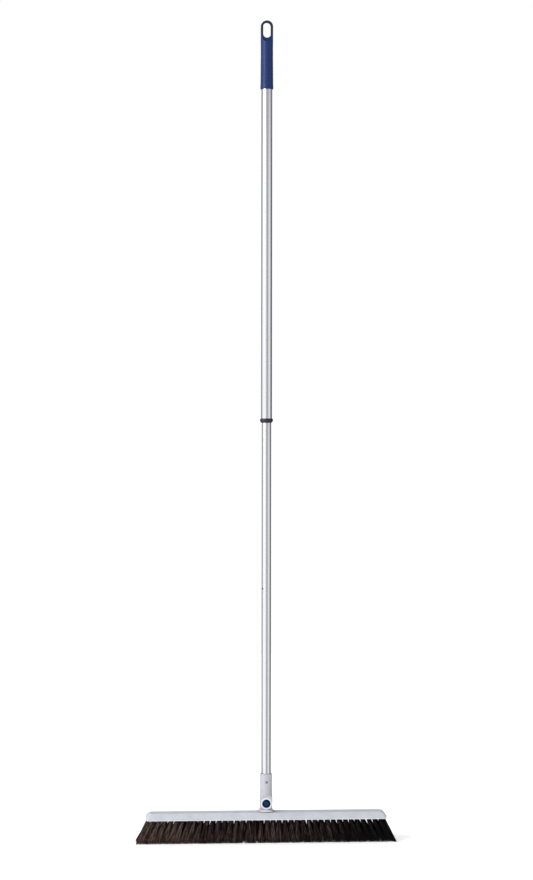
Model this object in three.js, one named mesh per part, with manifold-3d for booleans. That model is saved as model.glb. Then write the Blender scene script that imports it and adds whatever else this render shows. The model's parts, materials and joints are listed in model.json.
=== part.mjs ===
// Push broom: brush head, swivel base, tilting socket and a telescopic handle with a twist lock.
// Millimetres, +Z up, X along the head, front of the broom towards -Y, origin on the floor.
import * as THREE from 'three';
import { mergeVertices } from 'three/addons/utils/BufferGeometryUtils.js';
import Module from 'manifold-3d';

const wasm = await Module();
wasm.setup();
const { Manifold, Mesh: SolidMesh } = wasm;

// ---- driving dimensions ----
const GAP = 0.3;                 // free space between touching pieces
const TOTAL_HEIGHT = 1875;

const HEAD_LENGTH = 550;         // cover, end to end
const BRISTLE_HEIGHT = 51.7;     // floor to the underside of the board
const BRISTLE_SWEEP = 594;       // tip to tip
const BRISTLE_ROOTS = 545;       // first tuft to last tuft at the board
const TUFT_PITCH = 13.6;
const TUFT_COUNT = 40;
const LIP_TOP = 54.7;            // top of the visible edge of the board
const BOARD_TOP = 61.7;
const COVER_TOP = 67.5;

const PIVOT_HEIGHT = 87.1;       // tilt axis above the floor
const FOOT_BOTTOM = 68.9;
const FOOT_RADIUS = 20.5;
const FORK_HALF = 13.7;          // half width and half depth of the fork
const TONGUE_HALF = 8.9;
const SLOT_HALF = TONGUE_HALF + GAP;
const SLOT_DEPTH = 15.4;         // above the tilt axis
const BUTTON_RADIUS = 9.3;
const BUTTON_TRAVEL = 2.5;

const SOCKET_TOP = 154.1;
const SOCKET_FLOOR = 109.6;
const SNAP_HEIGHT = 135.8;
const SNAP_RADIUS = 2.6;

const LOWER_TUBE_R = 10.75;
const LOWER_TUBE_WALL = 1.0;
const LOWER_TUBE_BOTTOM = 110;
const LOWER_TUBE_TOP = 1040;
const UPPER_TUBE_R = 12.5;
const UPPER_TUBE_WALL = 1.4;
const UPPER_TUBE_BOTTOM = 960.2;
const UPPER_TUBE_TOP = 1822;
const STOP_HOLE_HEIGHT = 577;
const STOP_HOLE_RADIUS = 1.9;

const COLLAR_BOTTOM = 956.0;
const COLLAR_TOP = 965.6;
const COLLAR_RADIUS = 15;

const GRIP_BOTTOM = 1718;
const GRIP_RADIUS_LOW = 14.8;
const GRIP_RADIUS_TOP = 14.15;
const LOOP_HALF_THICK = 6.2;
const LOOP_HOLE_HALF_WIDTH = 8.8;
const LOOP_HOLE_BOTTOM = 1835.6;
const LOOP_HOLE_TOP = 1870.4;

// ---- solid helpers ----
const clean = (geometry) => {
  const bare = geometry.index ? geometry.toNonIndexed() : geometry.clone();
  for (const name of Object.keys(bare.attributes)) if (name !== 'position') bare.deleteAttribute(name);
  return mergeVertices(bare, 1e-4);
};

const toSolid = (geometry) => {
  const g = clean(geometry);
  const index = Array.from(g.index.array);
  const keep = [];
  for (let i = 0; i < index.length; i += 3) {
    const [a, b, c] = index.slice(i, i + 3);
    if (a !== b && b !== c && c !== a) keep.push(a, b, c);
  }
  return new Manifold(new SolidMesh({
    numProp: 3,
    vertProperties: new Float32Array(g.attributes.position.array),
    triVerts: new Uint32Array(keep),
  }));
};

const toGeometry = (solid) => {
  const mesh = solid.getMesh();
  const points = new Float32Array(mesh.numVert * 3);
  for (let i = 0; i < mesh.numVert; i++) {
    for (let k = 0; k < 3; k++) points[3 * i + k] = mesh.vertProperties[mesh.numProp * i + k];
  }
  const g = new THREE.BufferGeometry();
  g.setAttribute('position', new THREE.BufferAttribute(points, 3));
  g.setIndex(new THREE.BufferAttribute(new Uint32Array(mesh.triVerts), 1));
  return g;
};

// Profile points are [radius, height]; the outline closes on itself or ends on the axis.
const revolveY = (profile, segments = 36) => {
  const onAxis = profile[0][0] === 0;
  const points = profile.map(([r, h]) => new THREE.Vector2(r, h));
  if (!onAxis) points.push(points[0].clone());
  const g = new THREE.LatheGeometry(points, segments);
  const solid = toSolid(g);
  if (solid.volume() > 0) return solid;
  const flipped = clean(g);
  const index = flipped.index.array;
  for (let i = 0; i < index.length; i += 3) [index[i], index[i + 1]] = [index[i + 1], index[i]];
  return toSolid(flipped);
};
const revolveZ = (profile, segments = 36) => revolveY(profile, segments).rotate([90, 0, 0]);

const rodZ = (r, z0, z1, x = 0, y = 0, segments = 24) =>
  revolveZ([[0, z0], [r, z0], [r, z1], [0, z1]], segments).translate([x, y, 0]);
const rodY = (r, y0, y1, x = 0, z = 0, segments = 24) =>
  revolveY([[0, y0], [r, y0], [r, y1], [0, y1]], segments).translate([x, 0, z]);
const box = (x0, x1, y0, y1, z0, z1) => {
  const g = new THREE.BoxGeometry(x1 - x0, y1 - y0, z1 - z0);
  g.translate((x0 + x1) / 2, (y0 + y1) / 2, (z0 + z1) / 2);
  return toSolid(g);
};
const cut = (solid, ...tools) => Manifold.difference([solid, ...tools]);
const join = (...solids) => Manifold.union(solids);

// Outline [x, z] pushed along Y.
const slabY = (outline, y0, y1, holes = []) => {
  const shape = new THREE.Shape(outline.map(([x, z]) => new THREE.Vector2(x, z)));
  for (const h of holes) shape.holes.push(new THREE.Path(h.map(([x, z]) => new THREE.Vector2(x, z))));
  const g = new THREE.ExtrudeGeometry(shape, { depth: y1 - y0, bevelEnabled: false, curveSegments: 1 });
  g.rotateX(Math.PI / 2);
  g.translate(0, y1, 0);
  return toSolid(g);
};
// Outline [y, z] pushed along X.
const slabX = (outline, x0, x1) =>
  slabY(outline.map(([y, z]) => [-y, z]), x0, x1).rotate([0, 0, -90]);

// Rings of [x, y] points stacked at their heights.
const loft = (rings) => {
  const n = rings[0].points.length;
  const points = [];
  for (const { z, points: ring } of rings) for (const [x, y] of ring) points.push(x, y, z);
  const index = [];
  for (let s = 0; s + 1 < rings.length; s++) {
    for (let i = 0; i < n; i++) {
      const a = s * n + i, b = s * n + (i + 1) % n, c = a + n, d = b + n;
      index.push(a, b, d, a, d, c);
    }
  }
  const last = (rings.length - 1) * n;
  for (let i = 1; i + 1 < n; i++) index.push(0, i + 1, i, last, last + i, last + i + 1);
  const g = new THREE.BufferGeometry();
  g.setAttribute('position', new THREE.Float32BufferAttribute(points, 3));
  g.setIndex(index);
  return toSolid(g);
};
const roundedRectangle = (halfX, halfY, r, steps = 5) => {
  const ring = [];
  for (const [sx, sy, start] of [[1, 1, 0], [-1, 1, 90], [-1, -1, 180], [1, -1, 270]]) {
    for (let i = 0; i <= steps; i++) {
      const t = (start + 90 * i / steps) * Math.PI / 180;
      ring.push([sx * (halfX - r) + r * Math.cos(t), sy * (halfY - r) + r * Math.sin(t)]);
    }
  }
  return ring;
};
const arc = (cx, cz, r, from, to, steps) => Array.from({ length: steps + 1 }, (_, i) => {
  const t = (from + (to - from) * i / steps) * Math.PI / 180;
  return [cx + r * Math.cos(t), cz + r * Math.sin(t)];
});

// ---- the object ----
const broom = new THREE.Group();
broom.name = 'push_broom';
const add = (name, solid, color, metalness = 0, roughness = 0.5) => {
  const geometry = solid.isBufferGeometry ? solid : toGeometry(solid);
  const mesh = new THREE.Mesh(geometry, new THREE.MeshStandardMaterial({ color, metalness, roughness }));
  mesh.name = name;
  broom.add(mesh);
};

const GREY = 0xcbcfd3, PALE = 0xdcdfe5, NAVY = 0x34406f, BLUE = 0x0f3f66, DARK = 0x25233a;
const ALUMINIUM = 0xd5d7da, STEEL = 0x9a9da1, BRASS = 0xb59a4c, NYLON = 0xe8e6de, BLACK = 0x231d1a;

// Head: board and cover.
const SCREW_X = [60, 160, 250];
const screwSpots = SCREW_X.flatMap((x) => [-x, x]).sort((a, b) => a - b);
const END = HEAD_LENGTH / 2;

const board = join(
  loft([[BRISTLE_HEIGHT, 1.6, 0.7], [52.6, 1.2, 0], [LIP_TOP, 1.2, 0]].map(([z, dx, dy]) =>
    ({ z, points: roundedRectangle(END - dx, 27.4 - dy, 6.5) }))),
  loft([LIP_TOP - 1, BOARD_TOP].map((z) => ({ z, points: roundedRectangle(END - 9, 17.5, 8) }))),
);
add('tuft_board', cut(board,
  rodZ(9, BRISTLE_HEIGHT - 1, 59), rodZ(6.3, 58, BOARD_TOP + 1),
  ...screwSpots.map((x) => join(
    rodZ(2.4, BRISTLE_HEIGHT - 1, BOARD_TOP + 1, x, 0, 12),
    revolveZ([[0, BRISTLE_HEIGHT - 0.2], [4.9, BRISTLE_HEIGHT - 0.2], [2.4, 55.4], [0, 55.4]], 12)
      .translate([x, 0, 0])))), PALE);

// Height, inset at the ends, half depth, corner radius: flat sloping sides, domed ends.
const COVER_RINGS = [
  [LIP_TOP + GAP, 0, 28.0, 7], [57.0, 0.2, 27.7, 7], [58.4, 0.6, 26.4, 7.2], [60.0, 1.4, 24.8, 7.4],
  [62.0, 2.8, 22.9, 7.6], [64.0, 4.7, 21.0, 7.8], [66.0, 7.1, 19.1, 8], [67.1, 8.9, 17.9, 8.2],
  [COVER_TOP, 10.0, 16.9, 8],
];
const cover = loft(COVER_RINGS.map(([z, inset, halfY, r]) =>
  ({ z, points: roundedRectangle(END - inset, halfY, r) })));
add('head_cover', cut(cover,
  loft([LIP_TOP, BOARD_TOP + GAP].map((z) => ({ z, points: roundedRectangle(END - 8.7, 17.8, 8.3) }))),
  rodZ(6.3, 60, COVER_TOP + 1),
  ...screwSpots.map((x) => rodZ(2.4, 60, 66.4, x, 0, 12))), GREY);

screwSpots.forEach((x, i) => add(`board_screw_${i + 1}`, revolveZ([
  [0, 52.8], [3.9, 52.0], [1.9, 54.3], [1.9, 64.6], [0, 66.0],
], 12).translate([x, 0, 0]), STEEL, 0.9, 0.35));

// Bristle rows: combs of tufts that fan out towards the floor.
const ROWS = [[-21, -26], [-7, -8.7], [7, 8.7], [21, 26]];
const NOTCH_HEIGHT = 27;
const BRISTLE_TOP = BRISTLE_HEIGHT - GAP;
ROWS.forEach(([yTop, yFloor], row) => {
  const count = TUFT_COUNT + (row % 2 ? 0 : 1);
  const spread = (x, z) => x * (1 + (BRISTLE_SWEEP / BRISTLE_ROOTS - 1) * (1 - z / BRISTLE_TOP));
  const half = BRISTLE_ROOTS / 2 - (row % 2 ? TUFT_PITCH / 2 : 0);
  const outline = [[-half, 0], [half, 0]];
  for (let i = count - 1; i >= 0; i--) {
    const x = (i - (count - 1) / 2) * TUFT_PITCH;
    const low = i === 0 ? -half : x - 2.6, high = i === count - 1 ? half : x + 2.6;
    outline.push([high, BRISTLE_TOP], [low, BRISTLE_TOP]);
    if (i > 0) outline.push([x - TUFT_PITCH / 2, NOTCH_HEIGHT]);
  }
  const solid = slabY(outline.map(([x, z]) => [spread(x, z), z]), -1, 1).warp((v) => {
    const t = 1 - v[2] / BRISTLE_TOP;
    v[1] = yTop + (yFloor - yTop) * t + v[1] * (3.2 + 3.8 * t);
  });
  add(`bristle_row_${row + 1}`, solid, BLACK, 0, 0.8);
});

// Swivel between the head and the base.
add('swivel_bush', revolveZ([[3.3, 59.2], [6.0, 59.2], [6.0, 67.2], [3.3, 67.2]], 24), NYLON);
add('thrust_ring', revolveZ([
  [7, COVER_TOP + 0.25], [16.4, COVER_TOP + 0.25], [16.4, FOOT_BOTTOM - 0.25], [7, FOOT_BOTTOM - 0.25],
]), DARK);
add('swivel_washer', revolveZ([[3.3, 57.5], [8, 57.5], [8, 58.7], [3.3, 58.7]], 24), STEEL, 0.9, 0.35);
const hexagon = arc(0, 0, 5.9, 0, 300, 5);
add('swivel_bolt', join(
  loft([53.2, 57.2].map((z) => ({ z, points: hexagon }))), rodZ(3, 56, 75.4, 0, 0, 16)), STEEL, 0.9, 0.35);
add('insert_nut', cut(
  loft([69.3, 76.0].map((z) => ({ z, points: hexagon.map(([x, y]) => [x * 0.93, y * 0.93]) }))),
  rodZ(3.3, 69, 77, 0, 0, 16)), BRASS, 0.9, 0.35);

// Swivel base: round foot and an upright tongue.
const P = PIVOT_HEIGHT;
const foot = revolveZ([
  [0, FOOT_BOTTOM], [FOOT_RADIUS, FOOT_BOTTOM], [FOOT_RADIUS, P - 17.5], [18.9, P - 16.9], [17.1, P - 16.0],
  [15.8, P - 15.0], [15.0, P - 14.2], [0, P - 14.2],
]);
const tongueOutline = [
  [15.0, P - 14.3], [14.3, P - 12.3], [13.85, P - 10.6], [FORK_HALF, P - 9.3],
  ...arc(0, P, FORK_HALF, 0, 180, 18),
  [-FORK_HALF, P - 9.3], [-13.85, P - 10.6], [-14.3, P - 12.3], [-15.0, P - 14.3],
  [-15.0, P - 16], [15.0, P - 16],
];
const RECESS_RADIUS = 9.8, WEB_FRONT = -3.9, WEB_BACK = 4.3;
add('swivel_base', cut(
  join(foot, slabY(tongueOutline, -TONGUE_HALF, TONGUE_HALF)),
  rodY(RECESS_RADIUS, -TONGUE_HALF - 1, WEB_FRONT, 0, P, 32),
  rodY(RECESS_RADIUS, WEB_BACK, TONGUE_HALF + 1, 0, P, 32),
  rodY(6.3, -6, 6, 0, P),
  rodZ(5.8, FOOT_BOTTOM - 1, 76.3)), GREY);
add('pivot_bush', revolveY([[4.2, -3.6], [6.0, -3.6], [6.0, 4.0], [4.2, 4.0]], 24).translate([0, 0, P]),
  BRASS, 0.9, 0.35);

// Socket: fork below, tube socket above.
const forkRing = (z, corner) => ({ z, points: roundedRectangle(FORK_HALF, FORK_HALF, corner, 8) });
const fork = loft([forkRing(P, 1.2), forkRing(P + 14.5, 1.2), forkRing(P + 19.5, FORK_HALF)]);
const barrel = revolveZ([
  [0, P + 12], [FORK_HALF, P + 12], [FORK_HALF, SOCKET_TOP - 0.6], [FORK_HALF - 0.3, SOCKET_TOP],
  [12.7, SOCKET_TOP], [LOWER_TUBE_R + 0.25, SOCKET_TOP - 4.5], [LOWER_TUBE_R + 0.25, SOCKET_FLOOR],
  [0, SOCKET_FLOOR],
]);
const knuckle = revolveY([
  [0, -FORK_HALF], [12.9, -FORK_HALF], [FORK_HALF, -FORK_HALF + 0.8], [FORK_HALF, FORK_HALF - 0.8],
  [12.9, FORK_HALF], [0, FORK_HALF],
]).translate([0, 0, P]);
// Raised rim around the release button.
const rim = revolveY([[9, -13.2], [9, -14.6], [12.6, -14.6], [13.3, -14.0], [13.3, -13.2]]).translate([0, 0, P]);
add('handle_socket', cut(
  join(fork, knuckle, barrel, rim),
  box(-20, 20, -SLOT_HALF, SLOT_HALF, P - 20, P + SLOT_DEPTH),
  rodY(BUTTON_RADIUS + GAP, -20, -5, 0, P, 32), rodY(BUTTON_RADIUS + GAP, 5, 20, 0, P, 32),
  rodZ(LOWER_TUBE_R + 0.25, SOCKET_FLOOR, SOCKET_FLOOR + 20, 0, 0, 36),
  rodY(SNAP_RADIUS + GAP, -20, 0, 0, SNAP_HEIGHT, 20)), GREY);

// Tilt release: button, stud and brake disc slide together against the coil spring.
add('pivot_button', revolveY([
  [0, -15.1], [4.6, -14.9], [6.6, -13.4], [8.8, -13.1], [BUTTON_RADIUS, -12.7], [BUTTON_RADIUS, -10.6],
  [4.3, -10.6], [4.3, -12.6], [0, -12.6],
], 32).translate([0, 0, P]), BLUE, 0, 0.35);
add('pivot_stud', revolveY([
  [0, -12.3], [4, -12.3], [4, 7.1], [5.3, 7.1], [5.3, 8.4], [0, 8.4],
], 24).translate([0, 0, P]), STEEL, 0.9, 0.35);
add('brake_disc', revolveY([[4.3, 4.6], [8.8, 4.6], [8.8, 6.8], [4.3, 6.8]], 24).translate([0, 0, P]),
  DARK, 0, 0.8);
add('rear_cap', revolveY([
  [0, 8.4 + BUTTON_TRAVEL + 0.5], [9.0, 8.4 + BUTTON_TRAVEL + 0.5], [9.0, 13.2], [8.4, 13.9], [0, 13.9],
], 32).translate([0, 0, P]), GREY);
const coil = new THREE.CatmullRomCurve3(Array.from({ length: 4 * 12 + 1 }, (_, i) => {
  const t = 2 * Math.PI * i / 12;
  return new THREE.Vector3(7.5 * Math.cos(t), -9.8 + 5.1 * i / 48, P + 7.5 * Math.sin(t));
}));
const wire = new THREE.Shape(arc(0, 0, 0.45, 0, 288, 4).map(([x, y]) => new THREE.Vector2(x, y)));
add('button_spring', toSolid(new THREE.ExtrudeGeometry(wire,
  { extrudePath: coil, steps: 52, bevelEnabled: false })), STEEL, 0.9, 0.35);

// Lower tube, snap button and its leaf spring.
const tubeProfile = (r, wall, z0, z1) => [[r - wall, z0], [r, z0], [r, z1], [r - wall, z1]];
const stopHole = rodY(STOP_HOLE_RADIUS, -20, -5, 0, STOP_HOLE_HEIGHT, 14).rotate([0, 0, -52]);
add('lower_tube', cut(
  revolveZ(tubeProfile(LOWER_TUBE_R, LOWER_TUBE_WALL, LOWER_TUBE_BOTTOM, LOWER_TUBE_TOP)),
  rodY(SNAP_RADIUS + GAP, -20, -5, 0, SNAP_HEIGHT, 20), stopHole), ALUMINIUM, 0.95, 0.3);
add('snap_button', revolveY([
  [0, -14.7], [1.1, -14.55], [1.9, -14.1], [2.4, -13.4], [SNAP_RADIUS, -12.5], [SNAP_RADIUS, -7.6],
  [5.2, -7.6], [5.2, -6.6], [0, -6.6],
], 20).translate([0, 0, SNAP_HEIGHT]), STEEL, 0.9, 0.35);
const leafOuter = [[-6.3, 141], [-6.3, 131.5], [1.2, 115.4], [4.2, 114.2], [6.6, 116.2], [9.2, 126], [9.2, 141]];
const leafInner = [[-5.7, 141], [-5.7, 131.6], [1.6, 115.9], [4.1, 114.9], [6.1, 116.5], [8.6, 126.1], [8.6, 141]];
add('snap_spring', slabX([...leafOuter, ...leafInner.reverse()], -2.4, 2.4), STEEL, 0.9, 0.35);

// Twist lock inside the upper tube.
add('lock_plug', revolveZ([
  [3.3, 1012], [9.0, 1012], [9.5, 1013], [9.5, LOWER_TUBE_TOP + GAP], [10.5, LOWER_TUBE_TOP + GAP],
  [10.5, 1043.2], [3.3, 1043.2],
], 24), NYLON);
add('lock_stud', revolveZ([
  [0, 1013], [3, 1013], [3, 1078.4], [5.2, 1078.4], [5.2, 1081.4], [0, 1081.4],
], 20), STEEL, 0.9, 0.35);
add('lock_cone', revolveZ([[3.3, 1058], [5.0, 1058], [8.4, 1077.9], [3.3, 1077.9]], 24), BRASS, 0.9, 0.35);
const sleeve = revolveZ([
  [3.3, 1043.6], [10.2, 1043.6], [10.85, 1045], [10.85, 1075.5], [10.3, 1076.5], [8.5, 1076.5],
  [5.3, 1057.6], [3.3, 1057.6],
], 24);
add('lock_sleeve', cut(sleeve, ...[0, 60, 120].map((turn) =>
  box(-12, 12, -0.8, 0.8, 1053, 1080).rotate([0, 0, turn]))), DARK);

// Upper tube, collar and grip.
add('upper_tube', revolveZ(
  tubeProfile(UPPER_TUBE_R, UPPER_TUBE_WALL, UPPER_TUBE_BOTTOM, UPPER_TUBE_TOP)), ALUMINIUM, 0.95, 0.3);
add('collar', revolveZ([
  [LOWER_TUBE_R + 0.25, COLLAR_BOTTOM], [12.0, COLLAR_BOTTOM], [13.4, 957.5], [14.6, 959.8],
  [COLLAR_RADIUS, 961.8], [14.6, 964.0], [13.6, COLLAR_TOP],
  [UPPER_TUBE_R + 0.2, COLLAR_TOP], [UPPER_TUBE_R + 0.2, UPPER_TUBE_BOTTOM - 0.25],
  [LOWER_TUBE_R + 0.25, UPPER_TUBE_BOTTOM - 0.25],
]), DARK);

const LOOP_CENTRE = TOTAL_HEIGHT - GRIP_RADIUS_TOP;
const gripBody = revolveZ([
  [0, GRIP_BOTTOM], [GRIP_RADIUS_LOW - 1.2, GRIP_BOTTOM], [GRIP_RADIUS_LOW - 0.3, GRIP_BOTTOM + 0.5],
  [GRIP_RADIUS_LOW, GRIP_BOTTOM + 1.6], [GRIP_RADIUS_LOW - 0.2, GRIP_BOTTOM + 12],
  [GRIP_RADIUS_TOP, 1790], [GRIP_RADIUS_TOP, TOTAL_HEIGHT], [0, TOTAL_HEIGHT],
]);
const frontOutline = [
  [20, GRIP_BOTTOM - 1], [20, 1800], [GRIP_RADIUS_TOP, 1800],
  ...arc(0, LOOP_CENTRE, GRIP_RADIUS_TOP, 0, 180, 20),
  [-GRIP_RADIUS_TOP, 1800], [-20, 1800], [-20, GRIP_BOTTOM - 1],
];
const sideOutline = [
  [20, GRIP_BOTTOM - 1], [20, 1826], [GRIP_RADIUS_TOP, 1826], [10.4, 1830.5], [7.6, 1835],
  [LOOP_HALF_THICK, 1839], [LOOP_HALF_THICK, TOTAL_HEIGHT + 1], [-LOOP_HALF_THICK, TOTAL_HEIGHT + 1],
  [-LOOP_HALF_THICK, 1839], [-7.6, 1835], [-10.4, 1830.5], [-GRIP_RADIUS_TOP, 1826],
  [-20, 1826], [-20, GRIP_BOTTOM - 1],
];
const w = LOOP_HOLE_HALF_WIDTH;
const loopHole = [
  ...arc(0, LOOP_HOLE_TOP - w, w, 0, 180, 14), ...arc(0, LOOP_HOLE_BOTTOM + w, w, 180, 360, 14),
];
add('grip', cut(
  Manifold.intersection([gripBody, slabY(frontOutline, -20, 20), slabX(sideOutline, -20, 20)]),
  slabY(loopHole, -20, 20),
  rodZ(UPPER_TUBE_R + 0.2, GRIP_BOTTOM - 1, UPPER_TUBE_TOP + GAP, 0, 0, 36)), NAVY, 0, 0.6);

export default broom;
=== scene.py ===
"""Push broom: the looks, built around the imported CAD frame.

Z is up and the front faces -Y. Mesh code works in millimetres and new_object turns them into metres.
Materials, lights and the camera work in metres.
"""
import json
import math
import random

import bmesh
import bpy
from mathutils import Matrix, Vector


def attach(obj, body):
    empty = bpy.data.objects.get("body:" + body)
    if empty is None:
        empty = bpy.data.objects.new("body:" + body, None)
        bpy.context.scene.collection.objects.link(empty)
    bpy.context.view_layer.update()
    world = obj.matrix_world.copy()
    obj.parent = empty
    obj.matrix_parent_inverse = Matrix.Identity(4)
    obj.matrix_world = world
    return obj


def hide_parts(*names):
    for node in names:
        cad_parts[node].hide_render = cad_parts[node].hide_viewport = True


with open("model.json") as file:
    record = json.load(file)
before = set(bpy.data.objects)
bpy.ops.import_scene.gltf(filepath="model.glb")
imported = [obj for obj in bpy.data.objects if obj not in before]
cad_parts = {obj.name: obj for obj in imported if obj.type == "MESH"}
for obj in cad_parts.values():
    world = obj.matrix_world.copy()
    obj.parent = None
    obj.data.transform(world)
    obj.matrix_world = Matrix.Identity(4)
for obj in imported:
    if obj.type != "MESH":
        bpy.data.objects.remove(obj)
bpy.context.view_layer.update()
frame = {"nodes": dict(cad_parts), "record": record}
scene = bpy.context.scene
MM = 0.001

# Sizes and places in millimetres.
GAP = 0.3                 # free space between pieces that touch
HEAD_HALF = 275           # half the length of the head
BOARD_BOTTOM, BOARD_TOP = 51.7, 61.7
COVER_TOP = 67.5
BUSH_BORE = 6.3           # radius of the holes for the bushes on the swivel and tilt axes
SCREW_PLACES = (-250, -160, -60, 60, 160, 250)

BRISTLE_ROOTS = 545.0     # length of the rows of tufts at the board
BRISTLE_SWEEP = 594.0     # and at the floor
SWEEP = BRISTLE_SWEEP / BRISTLE_ROOTS
ROWS = [(-21, -26), (-7, -8.7), (7, 8.7), (21, 26)]    # Y of each row at the board and at the floor
TUFT_PITCH, TUFT_COUNT = 13.6, 40
TUFT_STAGGER = 0.07       # share of the pitch by which the second and fourth rows are off centre
STRANDS = 110             # in each tuft
TUFT_SPREAD_X, TUFT_SPREAD_Y = 7.4, 6.0    # a tuft's half width and half depth at the floor
STRAY_X, STRAY_Y = 2.0, 0.7                # how far single strands stray from that
BRISTLE_HALF_DEPTH = 33   # no strand reaches further from the middle than this

PIVOT = 87.1              # height of the tilt axis
TILT_AXIS = (0, 0, PIVOT)
FOOT_BOTTOM, FOOT_RADIUS = 68.9, 20.5
FORK_HALF = 13.7          # half width of the fork, and radius of its knuckle and of the socket
TONGUE_HALF = 8.9         # half thickness of the tongue inside the fork
SLOT_HALF, SLOT_DEPTH = TONGUE_HALF + GAP, 15.4
BUTTON_BORE = 9.6         # radius of the bore that the release button slides in
RECESS_RADIUS = 9.8       # of the hollows in both faces of the tongue
SOCKET_FLOOR, SOCKET_TOP, SOCKET_BORE = 109.6, 154.1, 11.0
SNAP_HEIGHT, SNAP_RADIUS = 135.8, 2.6
SNAP_HOLE = SNAP_RADIUS + GAP

LOWER_TUBE = (10.75, 1.0, 110, 1040)       # radius, wall, bottom and top
UPPER_TUBE = (12.5, 1.4, 960.2, 1822)
STOP_HOLE_HEIGHT, STOP_HOLE_RADIUS, STOP_HOLE_ANGLE = 577, 1.9, -52
COLLAR_BOTTOM = 956.0

GRIP_BOTTOM, GRIP_TOP = 1718, 1875.0
RIBS_START, RIB_PITCH, RIB_DEPTH = 1727, 5.3, 0.08
LOOP_START = 1824         # the round sleeve starts to flatten here
LOOP_HALF = 14.15         # half width of the loop, and radius of its rounded top
LOOP_HOLE_HALF, LOOP_HOLE_BOTTOM, LOOP_HOLE_TOP = 8.8, 1835.6, 1870.4

FLOOR_RADIUS = 4200


# ------------------------------------------------------------------ materials
def linear(rgb):
    """sRGB 0-255 to linear 0-1."""
    out = []
    for c in rgb:
        c /= 255
        out.append(c / 12.92 if c <= 0.04045 else ((c + 0.055) / 1.055) ** 2.4)
    return (*out, 1.0)


class Nodes:
    """Short calls that build a node tree."""

    def __init__(self, tree):
        self.tree = tree

    def node(self, kind, **values):
        n = self.tree.nodes.new("ShaderNode" + kind)
        for key, value in values.items():
            setattr(n, key, value)
        return n

    def link(self, a, b):
        self.tree.links.new(a, b)

    def place(self):
        """Where a point is on the object, in metres."""
        return self.node("TexCoord").outputs["Object"]

    def split(self, vector):
        n = self.node("SeparateXYZ")
        self.link(vector, n.inputs[0])
        return n.outputs["X"], n.outputs["Y"], n.outputs["Z"]

    def length(self, vector):
        n = self.node("VectorMath", operation="LENGTH")
        self.link(vector, n.inputs[0])
        return n.outputs["Value"]

    def noise(self, stretch, detail=4.0, roughness=0.55, vector=None):
        """Noise with stretch = (x, y, z) cells per metre, on the object's place or on a vector."""
        mapping = self.node("Mapping")
        mapping.inputs["Scale"].default_value = stretch
        self.link(self.place() if vector is None else vector, mapping.inputs["Vector"])
        n = self.node("TexNoise")
        n.inputs["Scale"].default_value = 1.0
        n.inputs["Detail"].default_value = detail
        n.inputs["Roughness"].default_value = roughness
        self.link(mapping.outputs["Vector"], n.inputs["Vector"])
        return n.outputs["Fac"]

    def ramp(self, value, stops):
        """stops: (position, linear colour or grey number)."""
        r = self.node("ValToRGB")
        elements = r.color_ramp.elements
        while len(elements) < len(stops):
            elements.new(0.5)
        for element, (position, colour) in zip(elements, stops):
            element.position = position
            element.color = colour if hasattr(colour, "__len__") else (colour, colour, colour, 1)
        self.link(value, r.inputs["Fac"])
        return r.outputs["Color"]

    def share(self, value, start, end, low=0.0, high=1.0):
        """Goes from low to high while value goes from start to end, and stays level outside that."""
        n = self.node("MapRange")
        for socket, number in (("From Min", start), ("From Max", end), ("To Min", low), ("To Max", high)):
            n.inputs[socket].default_value = number
        self.link(value, n.inputs["Value"])
        return n.outputs["Result"]

    def mix(self, factor, colour, other):
        """Goes from the output colour to the fixed colour other as factor rises."""
        n = self.node("Mix", data_type="RGBA")
        n.inputs["B"].default_value = other
        self.link(factor, n.inputs["Factor"])
        self.link(colour, n.inputs["A"])
        return n.outputs["Result"]

    def math(self, operation, a, b):
        n = self.node("Math", operation=operation)
        for socket, value in zip(n.inputs, (a, b)):
            if isinstance(value, (int, float)):
                socket.default_value = value
            else:
                self.link(value, socket)
        return n.outputs[0]


class Material(Nodes):
    """One Principled material."""

    def __init__(self, name, **sockets):
        self.material = bpy.data.materials.new(name)
        self.material.use_nodes = True
        super().__init__(self.material.node_tree)
        self.shader = self.tree.nodes["Principled BSDF"]
        for socket, value in sockets.items():
            self.shader.inputs[socket.replace("_", " ")].default_value = value

    def plug(self, output, socket):
        self.link(output, self.shader.inputs[socket])

    def bump(self, height, strength, distance):
        b = self.node("Bump")
        b.inputs["Strength"].default_value = strength
        b.inputs["Distance"].default_value = distance
        self.link(height, b.inputs["Height"])
        self.plug(b.outputs["Normal"], "Normal")


def shades(rgb, spread):
    low = [max(0, c * (1 - spread)) for c in rgb]
    high = [min(255, c * (1 + spread)) for c in rgb]
    return linear(low), linear(rgb), linear(high)


def even(cells):
    return (cells, cells, cells)


def moulded_skin(m, low_rough, high_rough, grain=900.0, bump=0.12):
    """Spark-eroded grain, and roughness that wanders a little."""
    m.plug(m.ramp(m.noise(even(grain), 3.0), [(0.2, low_rough), (0.8, high_rough)]), "Roughness")
    m.bump(m.noise(even(2600), 2.0), bump, 0.00012)


def plastic(name, rgb, rough=0.42, spread=0.035, grain=900.0, bump=0.12):
    """Moulded plastic with soft mottling."""
    m = Material(name, Specular_IOR_Level=0.45)
    low, mid, high = shades(rgb, spread)
    m.plug(m.ramp(m.noise(even(38), 5.0), [(0.3, low), (0.5, mid), (0.72, high)]), "Base Color")
    moulded_skin(m, rough - 0.07, rough + 0.08, grain, bump)
    return m.material


def metal(name, rgb, rough, stretch, spread=0.05, scratches=0.15, wander=0.09):
    """Metal with fine marks that run along the axis with the smallest number in stretch."""
    m = Material(name, Metallic=1.0)
    low, mid, high = shades(rgb, spread)
    lines = m.noise(stretch, 6.0, 0.65)
    m.plug(m.ramp(lines, [(0.25, low), (0.5, mid), (0.75, high)]), "Base Color")
    m.plug(m.ramp(lines, [(0.2, rough - wander), (0.8, rough + wander)]), "Roughness")
    m.bump(lines, scratches, 0.00002)
    return m.material


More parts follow.
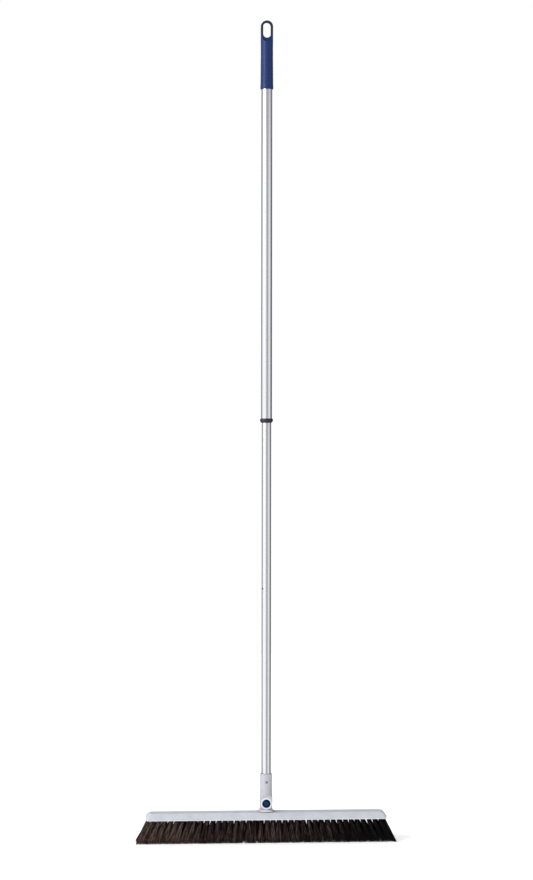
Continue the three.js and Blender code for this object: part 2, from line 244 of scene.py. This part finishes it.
def grip_rubber():
    """Satin navy rubber, slightly mottled, with painted shade that darkens the loop."""
    m = Material("grip_navy", Specular_IOR_Level=0.36)
    low, mid, high = shades((16, 43, 97), 0.1)
    cloud = m.noise((420, 420, 260))
    sleeve = m.ramp(cloud, [(0.28, low), (0.5, mid), (0.74, high)])
    _, _, z = m.split(m.place())
    # Painted shade: above the bottom of the loop's hole the colour is mixed towards a dark navy.
    loop = m.share(z, (LOOP_START + 12) * MM, (LOOP_START + 20) * MM, 0.0, 0.85)
    m.plug(m.mix(loop, sleeve, linear((16, 20, 42))), "Base Color")
    m.plug(m.ramp(cloud, [(0.2, 0.4), (0.8, 0.52)]), "Roughness")
    m.bump(m.noise(even(1800), 2.0), 0.12, 0.0001)
    return m.material


def socket_plastic():
    """Light grey moulded plastic, with a painted highlight on the front of the raised rim around the release
    button.
    """
    m = Material("socket_plastic", Specular_IOR_Level=0.4)
    low, mid, high = shades((189, 189, 196), 0.035)
    body = m.ramp(m.noise((60, 60, 38), 5.0), [(0.3, low), (0.5, mid), (0.72, high)])
    _, y, _ = m.split(m.place())
    # Painted highlight: the front face of the raised rim is mixed towards a lighter grey, as if it caught
    # the light.
    rim = m.share(y, -(FORK_HALF + 0.1) * MM, -(FORK_HALF + 0.7) * MM)
    m.plug(m.mix(rim, body, linear((222, 222, 230))), "Base Color")
    moulded_skin(m, 0.34, 0.48)
    return m.material


def button_plastic():
    """Glossy blue plastic, darker away from the middle of the button."""
    m = Material("button_blue", Specular_IOR_Level=0.12)
    flat = m.node("VectorMath", operation="MULTIPLY_ADD")
    flat.inputs[1].default_value = (1, 0, 1)
    flat.inputs[2].default_value = (0, 0, -PIVOT * MM)
    m.link(m.place(), flat.inputs[0])
    mottle = m.math("MULTIPLY", m.noise(even(420)), 0.16)
    tone = m.math("ADD", m.math("MULTIPLY", m.length(flat.outputs[0]), 100.0), mottle)
    m.plug(m.ramp(tone, [(0.38, linear((4, 56, 100))), (0.60, linear((4, 36, 72))),
                         (0.85, linear((6, 22, 48)))]), "Base Color")
    fine = m.noise(even(900), 2.0)
    m.plug(m.ramp(fine, [(0.2, 0.24), (0.8, 0.36)]), "Roughness")
    m.bump(fine, 0.06, 0.0001)
    return m.material


def bristle_fibre():
    """Brown-black fibre in streaks that fan out with the strands, with painted shade towards the right,
    darker at the tips.
    """
    m = Material("bristle", Specular_IOR_Level=0.2)
    x, y, z = m.split(m.place())
    spread = m.math("ADD", m.math("MULTIPLY", z, (1 - SWEEP) / (BOARD_BOTTOM * MM)), SWEEP)
    fanned = m.node("CombineXYZ")
    for output, socket in ((m.math("DIVIDE", x, spread), "X"), (y, "Y"), (z, "Z")):
        m.link(output, fanned.inputs[socket])
    strand = m.noise((420, 420, 9), 4.0, 0.7, fanned.outputs[0])
    bundle = m.noise((170, 90, 4), 2.0, vector=fanned.outputs[0])
    patch = m.noise((11, 11, 5), 2.0)
    tone = m.math("ADD", m.math("MULTIPLY", strand, 0.8), m.math("MULTIPLY", patch, 0.2))
    tone = m.math("ADD", tone, m.math("MULTIPLY", m.math("SUBTRACT", bundle, 0.5), 0.35))
    # Painted shade: the tone falls steadily towards +X, the right end of the head, and faster past x = 0.06
    # m.
    right = m.math("SUBTRACT", m.math("MULTIPLY", x, -0.26), 0.018)
    shade_far_right = m.math("MAXIMUM", m.math("SUBTRACT", x, 0.06), 0.0)
    right = m.math("SUBTRACT", right, m.math("MULTIPLY", shade_far_right, 0.39))
    tips = m.share(z, 0.0, 0.009, -0.09, 0.0)
    tone = m.math("ADD", tone, m.math("ADD", right, tips))
    m.plug(m.ramp(tone, [
        (0.36, linear((6, 4, 4))), (0.46, linear((31, 23, 21))),
        (0.54, linear((74, 58, 53))), (0.66, linear((130, 107, 98)))]), "Base Color")
    m.plug(m.ramp(strand, [(0.2, 0.42), (0.8, 0.62)]), "Roughness")
    m.bump(strand, 0.2, 0.00005)
    return m.material


MATERIALS = {
    "cover_plastic": plastic("cover_plastic", (204, 208, 214), 0.44),
    "board_plastic": plastic("board_plastic", (221, 224, 231), 0.5),
    "collar_dark": plastic("collar_dark", (34, 32, 48), 0.42, 0.08),
    "nylon": plastic("nylon", (232, 229, 220), 0.5),
    "brake_rubber": plastic("brake_rubber", (36, 36, 38), 0.8, 0.12, 500.0, 0.3),
    "tube_aluminium": metal("tube_aluminium", (229, 230, 233), 0.25, (900, 900, 4), 0.025, 0.015, 0.035),
    "steel": metal("steel", (168, 170, 174), 0.3, (500, 500, 60)),
    "brass": metal("brass", (196, 160, 86), 0.3, (400, 400, 60)),
    "grip_navy": grip_rubber(),
    "socket_plastic": socket_plastic(),
    "button_blue": button_plastic(),
    "bristle": bristle_fibre(),
}

for row in frame["record"]["subparts"]:
    node = frame["nodes"][row["node"]]
    node.data.materials.clear()
    node.data.materials.append(MATERIALS[row["material_slot"]])


# ------------------------------------------------------------------ mesh code
def new_object(name, verts, faces, slot):
    """A mesh object in the scene, from points in millimetres."""
    mesh = bpy.data.meshes.new(name)
    mesh.from_pydata([Vector(v) * MM for v in verts], [], faces)
    mesh.update()
    obj = bpy.data.objects.new(name, mesh)
    scene.collection.objects.link(obj)
    obj.data.materials.append(MATERIALS[slot])
    return obj


def evaluated(obj):
    """Applies the object's modifiers to its mesh."""
    graph = bpy.context.evaluated_depsgraph_get()
    graph.update()
    mesh = bpy.data.meshes.new_from_object(obj.evaluated_get(graph))
    obj.modifiers.clear()
    old, obj.data = obj.data, mesh
    bpy.data.meshes.remove(old)


def combine(obj, tools, operation="DIFFERENCE"):
    """Cuts the tools from a solid, or unites them with it, and removes them."""
    for tool in tools:
        m = obj.modifiers.new("combine", "BOOLEAN")
        m.operation, m.solver, m.object = operation, "EXACT", tool
    evaluated(obj)
    for tool in tools:
        data = tool.data
        bpy.data.objects.remove(tool)
        bpy.data.meshes.remove(data)


def shade(obj, angle=35):
    """Smooth shading, with edges left sharp where the surface turns by more than angle."""
    obj.data.shade_smooth()
    obj.data.set_sharp_from_angle(angle=math.radians(angle))


def soften(obj, voxel, slot):
    """Remeshes a solid finely and smooths it, so that every edge comes out rounded as if moulded."""
    m = obj.modifiers.new("remesh", "REMESH")
    m.mode, m.voxel_size = "VOXEL", voxel * MM
    m = obj.modifiers.new("smooth", "SMOOTH")
    m.factor, m.iterations = 0.5, 5
    evaluated(obj)
    obj.data.materials.clear()
    obj.data.materials.append(MATERIALS[slot])
    obj.data.shade_smooth()


def curve(start, corner, end, t):
    """The point at share t of the curve that leaves start for corner and bends over to end."""
    return start * (1 - t) ** 2 + corner * 2 * t * (1 - t) + end * t * t


def rounded(points, radius, steps=4):
    """Rounds the corners of a closed outline. radius is one number or one for each corner."""
    n = len(points)
    radii = [radius] * n if isinstance(radius, (int, float)) else radius
    out = []
    for i, (x, y) in enumerate(points):
        r = radii[i]
        if r <= 0:
            out.append((x, y))
            continue
        corner = Vector((x, y))
        a = Vector(points[i - 1]) - corner
        b = Vector(points[(i + 1) % n]) - corner
        turn = a.angle(b)
        cut = min(r / math.tan(turn / 2), a.length * 0.48, b.length * 0.48)
        start, end = corner + a.normalized() * cut, corner + b.normalized() * cut
        for k in range(steps + 1):
            p = curve(start, corner, end, k / steps)
            out.append((p.x, p.y))
    return out


def turned(name, profile, slot, axis="Z", centre=(0, 0, 0), segments=96):
    """Turns a closed (radius, height) outline about an axis. Points at radius 0 become poles."""
    verts, rings = [], []
    for r, h in profile:
        if r < 1e-6:
            rings.append([len(verts)])
            verts.append((0, 0, h))
        else:
            start = len(verts)
            rings.append(list(range(start, start + segments)))
            for k in range(segments):
                t = 2 * math.pi * k / segments
                verts.append((r * math.cos(t), r * math.sin(t), h))
    faces = []
    for i, low in enumerate(rings):
        high = rings[(i + 1) % len(rings)]
        for k in range(segments):
            k2 = (k + 1) % segments
            face = []
            for ring, key in ((low, k), (low, k2), (high, k2), (high, k)):
                v = ring[key % len(ring)]
                if v not in face:
                    face.append(v)
            if len(face) > 2:
                faces.append(face)
    if axis == "Y":
        verts = [(x, z, -y) for x, y, z in verts]
    verts = [(x + centre[0], y + centre[1], z + centre[2]) for x, y, z in verts]
    return outward(new_object(name, verts, faces, slot))


def outward(obj):
    """Turns every face to the outside."""
    bm = bmesh.new()
    bm.from_mesh(obj.data)
    bmesh.ops.recalc_face_normals(bm, faces=bm.faces)
    bm.to_mesh(obj.data)
    bm.free()
    return obj


def stacked(name, rings, slot):
    """Joins closed rings of (x, y, z) points of one length into a solid with flat ends."""
    n = len(rings[0])
    verts = [p for ring in rings for p in ring]
    faces = [list(range(n)), [(len(rings) - 1) * n + i for i in range(n)]]
    for s in range(len(rings) - 1):
        for i in range(n):
            j = (i + 1) % n
            faces.append([s * n + i, s * n + j, (s + 1) * n + j, (s + 1) * n + i])
    return outward(new_object(name, verts, faces, slot))


def plan(half_x, half_y, r, z, steps=12):
    """A ring of points at height z: a rectangle with rounded corners."""
    ring = []
    for sx, sy, start in ((1, 1, 0), (-1, 1, 90), (-1, -1, 180), (1, -1, 270)):
        for i in range(steps + 1):
            t = math.radians(start + 90 * i / steps)
            x, y = sx * (half_x - r) + r * math.cos(t), sy * (half_y - r) + r * math.sin(t)
            ring.append((x, y, z))
    return ring


def block(x0, x1, y0, y1, z0, z1):
    """A box that other solids are cut with."""
    corners = [(x0, y0), (x1, y0), (x1, y1), (x0, y1)]
    return stacked("tool", [[(x, y, z) for x, y in corners] for z in (z0, z1)], "steel")


def rod(r, low, high, axis="Z", centre=(0, 0, 0), segments=96):
    """A cylinder that other solids are cut with."""
    outline = [(0, low), (r, low), (r, high), (0, high)]
    return turned("tool", outline, "steel", axis, centre, segments)


def cross_rod(r, low, high, height=PIVOT, segments=96):
    """A rod along Y from low to high, at a height on the handle's axis."""
    return rod(r, low, high, "Y", (0, 0, height), segments)


def finish_piece(obj, body, slot, *nodes):
    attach(obj, body)
    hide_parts(*nodes)


# ------------------------------------------------------------------ camera, floor and light
AZIMUTH, ROLL = -4.0, -0.065    # degrees
DISTANCE, EYE_HEIGHT = 5.70, 1.008
camera = bpy.data.objects.new("camera", bpy.data.cameras.new("camera"))
scene.collection.objects.link(camera)
scene.camera = camera
camera.data.sensor_width = 36.0
camera.data.lens = 102.0
camera.data.shift_y = -0.0455
turn = math.radians(AZIMUTH)
camera.location = (DISTANCE * math.sin(turn), -DISTANCE * math.cos(turn), EYE_HEIGHT)
camera.rotation_euler = (math.radians(90), math.radians(ROLL), turn)
camera.data.clip_end = 200


def floor():
    """A pale round floor that glossy surfaces don't mirror and that glows a little more further out."""
    n = 96
    verts = [(0, 0, 0)]
    for i in range(n):
        t = 2 * math.pi * i / n
        verts.append((FLOOR_RADIUS * math.cos(t), FLOOR_RADIUS * math.sin(t), 0))
    faces = [(0, 1 + i, 1 + (i + 1) % n) for i in range(n)]
    m = Material("floor_white", Specular_IOR_Level=0.15, Roughness=0.75, Emission_Color=(1, 1, 1, 1))
    m.plug(m.ramp(m.noise(even(2), 3.0), [(0.3, 0.86), (0.7, 0.88)]), "Base Color")
    reach = m.math("MULTIPLY", m.length(m.place()), 0.25)
    m.plug(m.ramp(reach, [(0.03, 0.42), (0.3, 0.62)]), "Emission Strength")
    MATERIALS["floor"] = m.material
    obj = new_object("floor", verts, faces, "floor")
    obj.visible_glossy = False


floor()


# Brightness around the broom, by share of a turn: 0 behind it, 0.25 left, 0.5 ahead and 0.75 right.
SURROUNDINGS = [
    (0.0, 0.30), (0.19, 0.30), (0.24, 1.2), (0.44, 1.2), (0.495, 0.42), (0.57, 0.46),
    (0.62, 1.0), (0.70, 1.0), (0.745, 0.35), (0.80, 0.10), (0.93, 0.14), (1.0, 0.30)]
CEILING = (0.42, 0.42, 0.43, 1)


def studio():
    """Bright and grey upright bands under a grey ceiling, for the tubes to mirror. The camera sees white."""
    world = bpy.data.worlds.new("studio")
    scene.world = world
    world.use_nodes = True
    m = Nodes(world.node_tree)
    x, y, z = m.split(m.node("TexCoord").outputs["Generated"])
    turned_by = m.math("ARCTAN2", x, m.math("MULTIPLY", y, -1))
    bands = m.ramp(m.share(turned_by, -math.pi, math.pi),
                   [(at, (grey, grey, grey * 1.01, 1)) for at, grey in SURROUNDINGS])
    mirrored = m.tree.nodes["Background"]
    m.link(m.mix(m.share(z, 0.16, 0.5), bands, CEILING), mirrored.inputs["Color"])
    seen = m.node("Background")
    seen.inputs["Color"].default_value = (1, 1, 1, 1)
    choice = m.node("MixShader")
    m.link(m.node("LightPath").outputs["Is Camera Ray"], choice.inputs["Fac"])
    m.link(mirrored.outputs[0], choice.inputs[1])
    m.link(seen.outputs[0], choice.inputs[2])
    m.link(choice.outputs[0], m.tree.nodes["World Output"].inputs["Surface"])


studio()


def area_light(name, place, target, size, power):
    """A rectangular light that faces target. Metres and watts."""
    data = bpy.data.lights.new(name, "AREA")
    data.shape, data.size, data.size_y, data.energy = "RECTANGLE", size[0], size[1], power
    light = bpy.data.objects.new(name, data)
    scene.collection.objects.link(light)
    light.location = place
    light.rotation_euler = (Vector(target) - Vector(place)).to_track_quat("-Z", "Y").to_euler()


area_light("key", (-4.4, -2.9, 3.9), (0, 0, 0.7), (2.0, 2.0), 205)
area_light("back_fill", (-2.4, 3.2, 5.2), (0, 0, 0.5), (2.4, 2.0), 60)

scene.view_settings.view_transform = "Standard"
scene.view_settings.look = "None"
scene.view_settings.exposure = 0.0


# ------------------------------------------------------------------ head
# Each row: height, inset at the ends, half depth, corner radius.
COVER_PROFILE = [
    (55.0, 0.2, 27.5, 6.6), (55.2, 0.0, 27.85, 7.0), (55.7, 0.0, 28.0, 7.0), (57.0, 0.2, 27.7, 7.0),
    (58.4, 0.6, 26.4, 7.2), (60.0, 1.4, 24.8, 7.4), (61.0, 2.05, 23.85, 7.5), (62.0, 2.8, 22.9, 7.6),
    (63.0, 3.7, 21.95, 7.7), (64.0, 4.7, 21.0, 7.8), (65.0, 5.85, 20.05, 7.9), (66.0, 7.1, 19.1, 8.0),
    (66.7, 8.1, 18.4, 8.1), (67.1, 8.8, 17.95, 8.1), (67.35, 9.35, 17.45, 8.0), (67.48, 9.9, 16.9, 7.8),
    (COVER_TOP, 10.6, 16.2, 7.4),
]
BOARD_PROFILE = [
    (BOARD_BOTTOM, 2.2, 26.1, 6.0), (51.8, 1.75, 26.55, 6.3), (52.1, 1.4, 26.9, 6.5),
    (52.6, 1.2, 27.1, 6.6), (54.2, 1.2, 27.1, 6.6), (54.55, 1.35, 26.95, 6.5), (54.7, 1.7, 26.6, 6.3),
]


def head_shape(profile):
    return [plan(HEAD_HALF - inset, half, r, z) for z, inset, half, r in profile]


def head_cover():
    obj = stacked("head_cover_shell", head_shape(COVER_PROFILE), "cover_plastic")
    cavity = stacked("tool", [plan(266.3, 17.8, 8.3, z) for z in (50, BOARD_TOP + GAP)], "steel")
    combine(obj, [cavity, rod(BUSH_BORE, 60, 70)])
    shade(obj, 30)
    finish_piece(obj, "head", "cover_plastic", "head_cover")


head_cover()


def screw_hole(x):
    """A stepped hole from below that takes a countersunk screw."""
    profile = [(0, 51.5), (4.9, 51.5), (2.4, 55.4), (2.4, 62.5), (0, 62.5)]
    return turned("tool", profile, "steel", centre=(x, 0, 0), segments=24)


def tuft_board():
    obj = stacked("tuft_board_body", head_shape(BOARD_PROFILE), "board_plastic")
    core = stacked("core", [plan(266, 17.5, 8, z) for z in (53.7, BOARD_TOP)], "board_plastic")
    combine(obj, [core], "UNION")
    combine(obj, [rod(9, 50, 59), rod(BUSH_BORE, 58, 63)] + [screw_hole(x) for x in SCREW_PLACES])
    shade(obj, 30)
    finish_piece(obj, "head", "board_plastic", "tuft_board")


tuft_board()


def thrust_ring():
    low, high = COVER_TOP + 0.25, COVER_TOP + 1.15
    profile = rounded([(7, low), (16.4, low), (16.4, high), (7, high)], 0.25)
    # A real thrust washer; its dark colour also stands in as painted shade for the thin gap under the swivel
    # foot.
    disc = turned("thrust_ring_disc", profile, "collar_dark")
    shade(disc)
    finish_piece(disc, "head", "collar_dark", "thrust_ring")


thrust_ring()


# ------------------------------------------------------------------ bristles
def within(value, limit):
    return max(-limit, min(limit, value))


def tuft_places(row):
    """Where the tufts of a row are along the board. The second and fourth rows have one tuft fewer."""
    odd = row % 2
    count = TUFT_COUNT + 1 - odd
    for i in range(count):
        yield within((i - (count - 1) / 2 - TUFT_STAGGER * odd) * TUFT_PITCH, BRISTLE_ROOTS / 2 - 2.6)


def add_strand(verts, faces, root, middle, tip, thick, twist, segments=3):
    """Adds a bent three-sided strand that thins towards its tip."""
    base = len(verts)
    for s in range(segments + 1):
        t = s / segments
        p = curve(root, middle, tip, t)
        w = thick * (1.0 - 0.3 * t)
        for k in range(3):
            b = twist + 2 * math.pi * k / 3
            verts.append((p.x + w * math.cos(b), p.y + w * math.sin(b), max(0.0, p.z)))
    for s in range(segments):
        for k in range(3):
            i, j = base + 3 * s + k, base + 3 * s + (k + 1) % 3
            faces.append((i, i + 3, j + 3, j))
    faces.append((base, base + 1, base + 2))
    faces.append((base + 3 * segments + 2, base + 3 * segments + 1, base + 3 * segments))


def bristle_row(row):
    """One row of tufts: each tuft leaves its hole in a tight bundle and fans out to the floor."""
    y_top, y_floor = ROWS[row]
    draw = random.Random(100 + row)
    verts, faces = [], []
    for place in tuft_places(row):
        x_floor = place * SWEEP
        hole = place + draw.uniform(-0.5, 0.5)
        lean_x, lean_y = draw.gauss(0, 1.3), draw.gauss(0, 0.5)
        width = draw.uniform(1.7, 2.0)
        for _ in range(STRANDS):
            across, deep = draw.uniform(-1, 1), draw.uniform(-1, 1)
            inside = 1 / math.sqrt(1 + min(abs(across), abs(deep)) ** 2)
            x, y = hole + width * across * inside, y_top + width * deep * inside
            root = Vector((x, y, BOARD_BOTTOM + 0.6))
            x = x_floor + lean_x + TUFT_SPREAD_X * across + draw.gauss(0, STRAY_X)
            y = y_floor + lean_y + TUFT_SPREAD_Y * deep + draw.gauss(0, STRAY_Y)
            x, y = within(x, BRISTLE_SWEEP / 2), within(y, BRISTLE_HALF_DEPTH)
            tip = Vector((x, y, draw.triangular(0.05, 1.3, 0.1)))
            middle = (root + tip) / 2
            middle.x += -(tip.x - x_floor - root.x + hole) * 0.09 + draw.gauss(0, 0.35)
            middle.y += -(tip.y - y_floor - root.y + y_top) * 0.09 + draw.gauss(0, 0.3)
            add_strand(verts, faces, root, middle, tip, draw.uniform(0.24, 0.42), draw.uniform(0, 2))
    obj = new_object(f"tufts_row_{row + 1}", verts, faces, "bristle")
    obj.data.shade_smooth()
    finish_piece(obj, "head", "bristle", f"bristle_row_{row + 1}")


for row_number in range(len(ROWS)):
    bristle_row(row_number)


# ------------------------------------------------------------------ swivel base, socket and button
def swivel_base():
    """A round foot with a tongue that stands inside the fork."""
    profile = rounded([
        (0, FOOT_BOTTOM), (FOOT_RADIUS, FOOT_BOTTOM), (FOOT_RADIUS, PIVOT - 17.5), (18.9, PIVOT - 16.9),
        (17.1, PIVOT - 16.0), (15.8, PIVOT - 15.0), (15.0, PIVOT - 14.2), (0, PIVOT - 14.2)],
        [0, 0.3, 0.35, 1, 2, 2, 0, 0])
    foot = turned("swivel_base_body", profile, "socket_plastic")
    side = [(15.0, PIVOT - 14.6), (14.3, PIVOT - 12.3), (13.85, PIVOT - 10.6), (FORK_HALF, PIVOT - 9.3)]
    outline = list(side)
    for i in range(33):
        t = math.pi * i / 32
        outline.append((FORK_HALF * math.cos(t), PIVOT + FORK_HALF * math.sin(t)))
    outline += [(-x, z) for x, z in reversed(side)]
    outline += [(-15.0, PIVOT - 16), (15.0, PIVOT - 16)]
    faces = [[(x, y, z) for x, z in outline] for y in (-TONGUE_HALF, TONGUE_HALF)]
    combine(foot, [stacked("tongue", faces, "socket_plastic")], "UNION")
    combine(foot, [
        cross_rod(RECESS_RADIUS, -10, -3.9), cross_rod(RECESS_RADIUS, 4.3, 10),
        cross_rod(BUSH_BORE, -6, 6), rod(5.8, 60, 76.3)])
    soften(foot, 0.4, "socket_plastic")
    finish_piece(foot, "swivel", "socket_plastic", "swivel_base")


swivel_base()


def handle_socket():
    """A square fork that turns round above the joint and takes the lower tube."""
    shoulders = [(0, 2.6), (14.2, 2.6), (16.4, 5.2), (18.2, 9.0), (19.5, FORK_HALF - 0.01)]
    rings = [plan(FORK_HALF, FORK_HALF, corner, PIVOT + up) for up, corner in shoulders]
    obj = stacked("handle_socket_body", rings, "socket_plastic")
    profile = rounded([(0, -FORK_HALF), (FORK_HALF, -FORK_HALF), (FORK_HALF, FORK_HALF), (0, FORK_HALF)],
                      [0, 0.8, 0.8, 0])
    knuckle = turned("knuckle", profile, "socket_plastic", "Y", TILT_AXIS)
    profile = rounded([
        (0, PIVOT + 12), (FORK_HALF, PIVOT + 12), (FORK_HALF, SOCKET_TOP), (FORK_HALF - 1, SOCKET_TOP),
        (SOCKET_BORE, SOCKET_TOP - 4.5), (SOCKET_BORE, SOCKET_FLOOR), (0, SOCKET_FLOOR)],
        [0, 0, 0.45, 0.25, 0.5, 0, 0])
    barrel = turned("barrel", profile, "socket_plastic")
    profile = rounded([(9.45, -14.75), (13.45, -14.75), (13.45, -12.6), (9.45, -12.6)],
                      [0.5, 1.7, 0, 0], 5)
    rim = turned("rim", profile, "socket_plastic", "Y", TILT_AXIS)
    combine(obj, [knuckle, barrel], "UNION")
    combine(obj, [
        block(-20, 20, -SLOT_HALF, SLOT_HALF, PIVOT - 20, PIVOT + SLOT_DEPTH),
        cross_rod(BUTTON_BORE, -20, -5), cross_rod(BUTTON_BORE, 5, 20),
        rod(SOCKET_BORE, SOCKET_FLOOR, 130), cross_rod(SNAP_HOLE, -20, 0, SNAP_HEIGHT, 48)])
    combine(obj, [rim], "UNION")
    soften(obj, 0.4, "socket_plastic")
    finish_piece(obj, "lower_handle", "socket_plastic", "handle_socket")


handle_socket()


def pivot_button():
    """The release button: a raised middle, a lower ring around it, and a hollow behind for the spring."""
    profile = rounded([
        (0, -15.1), (4.8, -14.95), (6.4, -13.4), (8.8, -13.1), (9.2, -12.7), (9.2, -10.6), (4.3, -10.6),
        (4.3, -12.6), (0, -12.6)], [0, 1.6, 1.0, 0.3, 0.2, 0.2, 0, 0, 0])
    cap = turned("pivot_button_cap", profile, "button_blue", "Y", TILT_AXIS)
    shade(cap)
    finish_piece(cap, "tilt_release", "button_blue", "pivot_button")


def rear_cap():
    profile = rounded([(0, 11.4), (9.0, 11.4), (9.0, 13.9), (7.4, 13.9), (7.0, 13.5), (0, 13.5)],
                      [0, 0, 0.5, 0.3, 0.2, 0])
    disc = turned("rear_cap_disc", profile, "socket_plastic", "Y", TILT_AXIS)
    shade(disc)
    finish_piece(disc, "lower_handle", "socket_plastic", "rear_cap")


def snap_button():
    """A small domed pin with a flange inside the tube."""
    profile = rounded([
        (0, -14.75), (1.1, -14.6), (1.9, -14.1), (2.4, -13.4), (SNAP_RADIUS, -12.5), (SNAP_RADIUS, -7.6),
        (5.2, -7.6), (5.2, -6.6), (0, -6.6)], [0, 0.6, 0.6, 0.6, 0.6, 0, 0.2, 0.2, 0])
    dome = turned("snap_button_dome", profile, "steel", "Y", (0, 0, SNAP_HEIGHT), 64)
    shade(dome)
    finish_piece(dome, "snap_catch", "steel", "snap_button")


pivot_button()
rear_cap()
snap_button()


# ------------------------------------------------------------------ tubes, collar and grip
def tube(name, sizes, body, node, holes):
    r, wall, low, high = sizes
    profile = rounded([(r - wall, low), (r, low), (r, high), (r - wall, high)], 0.2, 2)
    obj = turned(name, profile, "tube_aluminium", segments=120)
    if holes:
        combine(obj, holes)
    shade(obj, 30)
    finish_piece(obj, body, "tube_aluminium", node)


stop_hole = cross_rod(STOP_HOLE_RADIUS, -20, -5, STOP_HOLE_HEIGHT, 32)
stop_hole.data.transform(Matrix.Rotation(math.radians(STOP_HOLE_ANGLE), 4, "Z"))
snap_hole = cross_rod(SNAP_HOLE, -20, -5, SNAP_HEIGHT, 48)
tube("lower_tube_wall", LOWER_TUBE, "lower_handle", "lower_tube", [snap_hole, stop_hole])
tube("upper_tube_wall", UPPER_TUBE, "upper_handle", "upper_tube", [])


def collar():
    """A rounded ring with a step inside, on which the upper tube stands."""
    profile = [
        (11.0, 0), (12.0, 0), (13.4, 1.4), (14.6, 3.6), (15.0, 5.8), (14.6, 8.0),
        (13.7, 9.6), (12.7, 9.6), (12.7, 3.95), (11.0, 3.95)]
    radii = [0.1, 0.4, 1.0, 1.4, 1.6, 1.4, 0.7, 0.2, 0, 0]
    ring = turned("collar_ring", rounded([(r, COLLAR_BOTTOM + up) for r, up in profile], radii),
                  "collar_dark")
    shade(ring)
    finish_piece(ring, "upper_handle", "collar_dark", "collar")


collar()

# Distance above GRIP_BOTTOM and radius, then distance above LOOP_START and half thickness.
GRIP_RADII = [(0, 13.6), (0.5, 14.5), (1.6, 14.8), (4, 14.78), (14, 14.6), (72, LOOP_HALF),
              (162, LOOP_HALF)]
LOOP_THICKNESS = [(0, 15.0), (2, 13.9), (4, 12.3), (6.5, 10.4), (8.8, 8.8), (11, 7.6),
                  (13, 6.75), (15, 6.3), (17, 6.2), (56, 6.2)]


def along(table, z):
    """The value at z on the straight lines between a table's points."""
    for (z0, v0), (z1, v1) in zip(table, table[1:]):
        if z <= z1:
            return v0 + (v1 - v0) * (z - z0) / (z1 - z0)
    return table[-1][1]


def grip_ring(z, arc_top, points=120):
    """The grip's outline at height z: round, cut flat front and back on the loop, narrow near the top."""
    radius = along(GRIP_RADII, z - GRIP_BOTTOM)
    half_x = half_y = 2 * LOOP_HALF
    if z > LOOP_START:
        half_y = along(LOOP_THICKNESS, z - LOOP_START)
    if z > arc_top:
        half_x = math.sqrt(max(0.01, LOOP_HALF ** 2 - (z - arc_top) ** 2))
    ring = []
    for k in range(points):
        t = 2 * math.pi * (k + 0.5) / points
        reach = min(radius, half_x / abs(math.cos(t)), half_y / abs(math.sin(t)))
        ring.append((reach * math.cos(t), reach * math.sin(t), z))
    return ring


def loop_hole():
    """The long hole through the loop, round at both ends."""
    outline = []
    for i in range(64):
        t = 2 * math.pi * (i + 0.5) / 64
        if math.sin(t) < 0:
            centre = LOOP_HOLE_BOTTOM + LOOP_HOLE_HALF
        else:
            centre = LOOP_HOLE_TOP - LOOP_HOLE_HALF
        outline.append((LOOP_HOLE_HALF * math.cos(t), centre + LOOP_HOLE_HALF * math.sin(t)))
    return stacked("tool", [[(x, y, z) for x, z in outline] for y in (-25, 25)], "steel")


def add_ribs(obj):
    """Presses shallow rings into the outside of the sleeve, fading out at both ends."""
    for v in obj.data.vertices:
        z = v.co.z / MM
        radius = math.hypot(v.co.x, v.co.y) / MM
        if RIBS_START < z < LOOP_START and radius > 13.4:
            edge = min(1.0, (z - RIBS_START) / 3, (LOOP_START - z) / 3)
            wave = (1 - math.cos(2 * math.pi * z / RIB_PITCH)) ** 2
            v.co.xy *= 1 - edge * RIB_DEPTH * wave / radius


def grip():
    """Round sleeve flattened to a loop at the top, remeshed so that every edge is soft."""
    arc_top = GRIP_TOP - LOOP_HALF
    heights = [GRIP_BOTTOM + up for up, _ in GRIP_RADII[:5]]
    heights += [heights[-1] + 4 * i for i in range(1, 24)]
    heights += [LOOP_START + 1.5 * i for i in range(1, 25)]
    heights += [arc_top + LOOP_HALF * math.sin(math.radians(a)) for a in range(4, 88, 3)]
    body = stacked("grip_body", [grip_ring(z, arc_top) for z in heights], "grip_navy")
    combine(body, [loop_hole(), rod(12.7, 1710, 1822.3)])
    soften(body, 0.6, "grip_navy")
    add_ribs(body)
    body.data.shade_smooth()
    body.name = "grip_sleeve"
    finish_piece(body, "upper_handle", "grip_navy", "grip")


grip()
